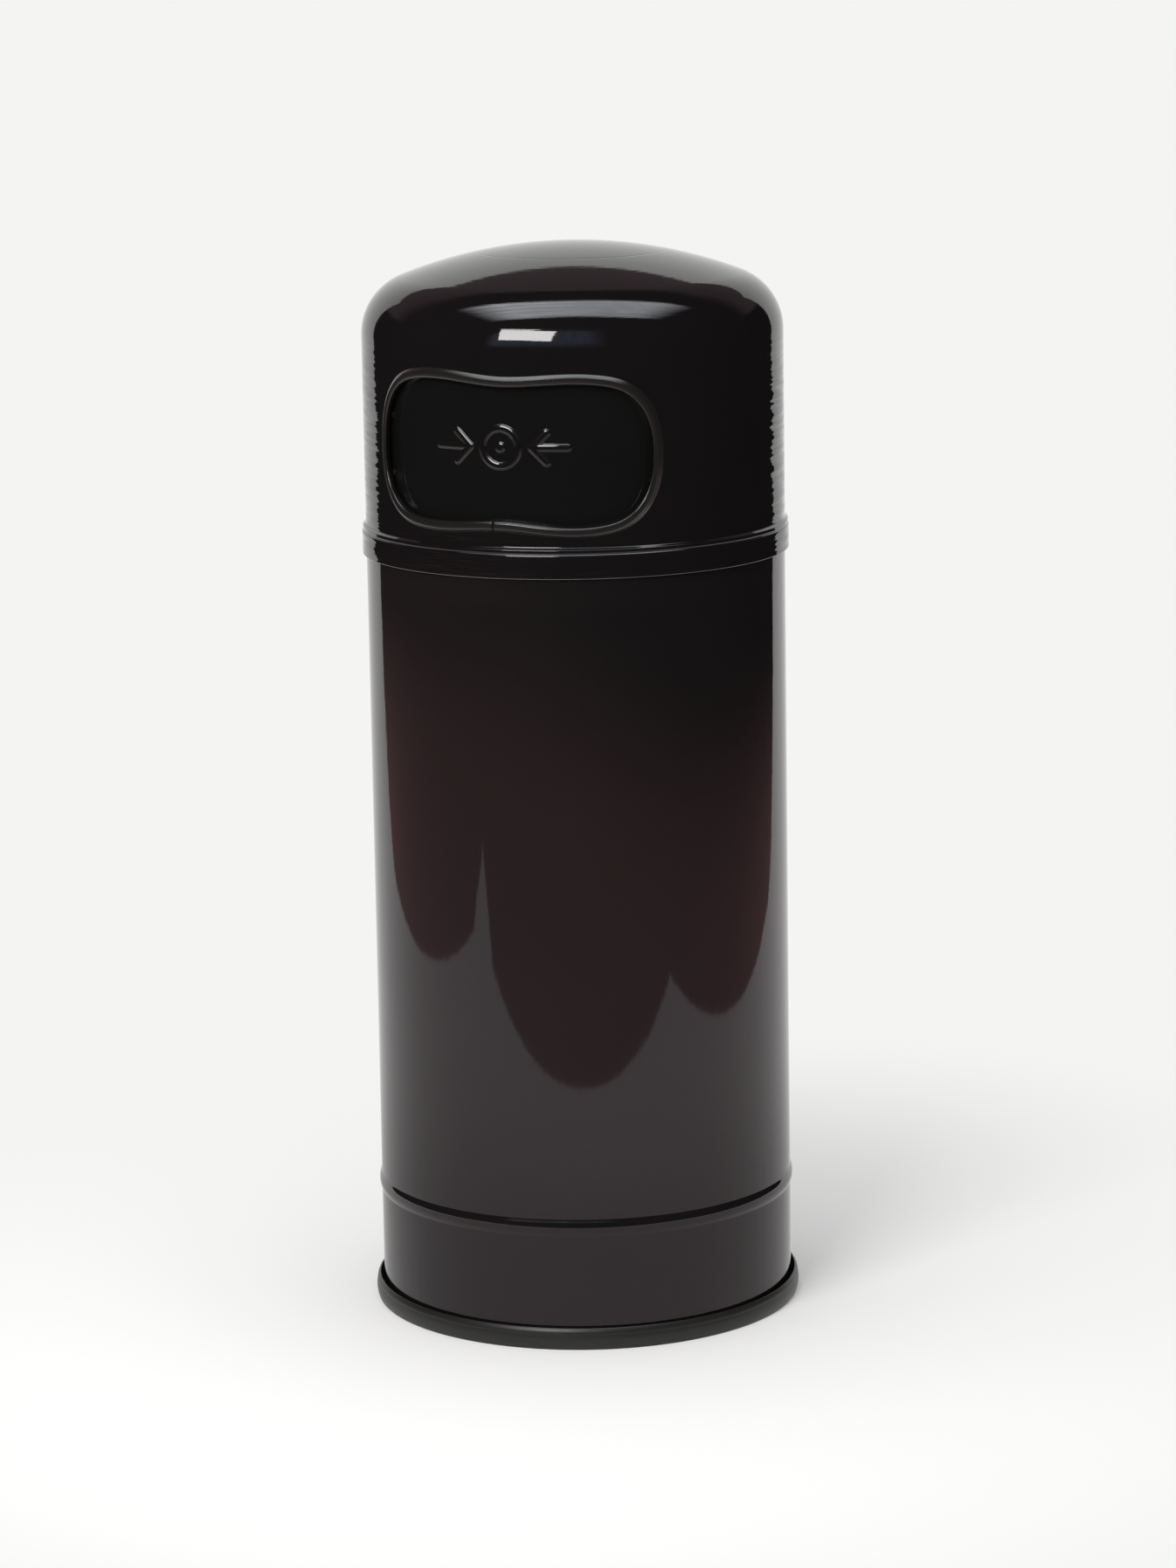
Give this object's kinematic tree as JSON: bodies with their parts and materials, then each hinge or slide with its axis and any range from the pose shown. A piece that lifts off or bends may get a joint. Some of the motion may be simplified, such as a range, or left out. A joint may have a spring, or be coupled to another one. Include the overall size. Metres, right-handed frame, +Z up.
{
  "type": "push flap litter bin",
  "caption": "Tall round litter bin with a domed lift-off hood, a sprung push flap in a rubber-edged opening, a rubber foot ring and a lift-out liner with a bail.",
  "frame": {"origin": "centre of the base, on the floor", "axes": "+Z up along the bin's axis, -Y towards the front with the opening, +X to the right seen from the front"},
  "size_m": [0.363, 0.363, 0.8986],
  "materials": {
    "enamel": "gloss",
    "flap_plastic": "gloss",
    "trim_rubber": "satin",
    "ring_rubber": "satin",
    "zinc_steel": "zinc plated",
    "spring_steel": "satin",
    "galvanised": "spangled zinc",
    "grip_plastic": "matt"
  },
  "bodies": {
    "root": {"body_shell": "enamel", "body_hoop": "enamel", "base_pan": "enamel", "foot_ring": "ring_rubber"},
    "hood": {"hood_shell": "enamel", "aperture_trim": "trim_rubber", "hinge_bracket_left": "zinc_steel", "hinge_bracket_right": "zinc_steel", "hinge_rod": "zinc_steel", "rod_clip_left": "spring_steel", "rod_clip_right": "spring_steel", "torsion_spring_left": "spring_steel", "torsion_spring_right": "spring_steel"},
    "flap": {"flap_panel": "flap_plastic", "flap_buffers": "trim_rubber"},
    "liner": {"liner_shell": "galvanised", "liner_base": "galvanised", "liner_ear_left": "galvanised", "liner_ear_right": "galvanised", "ear_rivets": "zinc_steel"},
    "bail": {"bail_wire": "zinc_steel", "bail_grip": "grip_plastic"}
  },
  "joints": [
    {"name": "hood_lift", "type": "slide", "parent": "root", "child": "hood", "axis": [0, 0, 1], "range_m": [0, 1.32]},
    {"name": "flap_hinge", "type": "hinge", "parent": "hood", "child": "flap", "pos_m": [0, -0.14, 0.815], "axis": [1, 0, 0], "range_deg": [0, 60], "stiffness_Nm_per_rad": 0.12, "springref_deg": -45.84, "deforming": ["torsion_spring_left", "torsion_spring_right"]},
    {"name": "liner_lift", "type": "slide", "parent": "root", "child": "liner", "axis": [0, 0, 1], "range_m": [0, 0.66]},
    {"name": "bail_hinge", "type": "hinge", "parent": "liner", "child": "bail", "pos_m": [0, 0, 0.6443], "axis": [1, 0, 0], "range_deg": [0, 90]}
  ],
  "couplings": [
    {"joint": "liner_lift", "follows": "hood_lift", "ratio": 0.5}
  ]
}
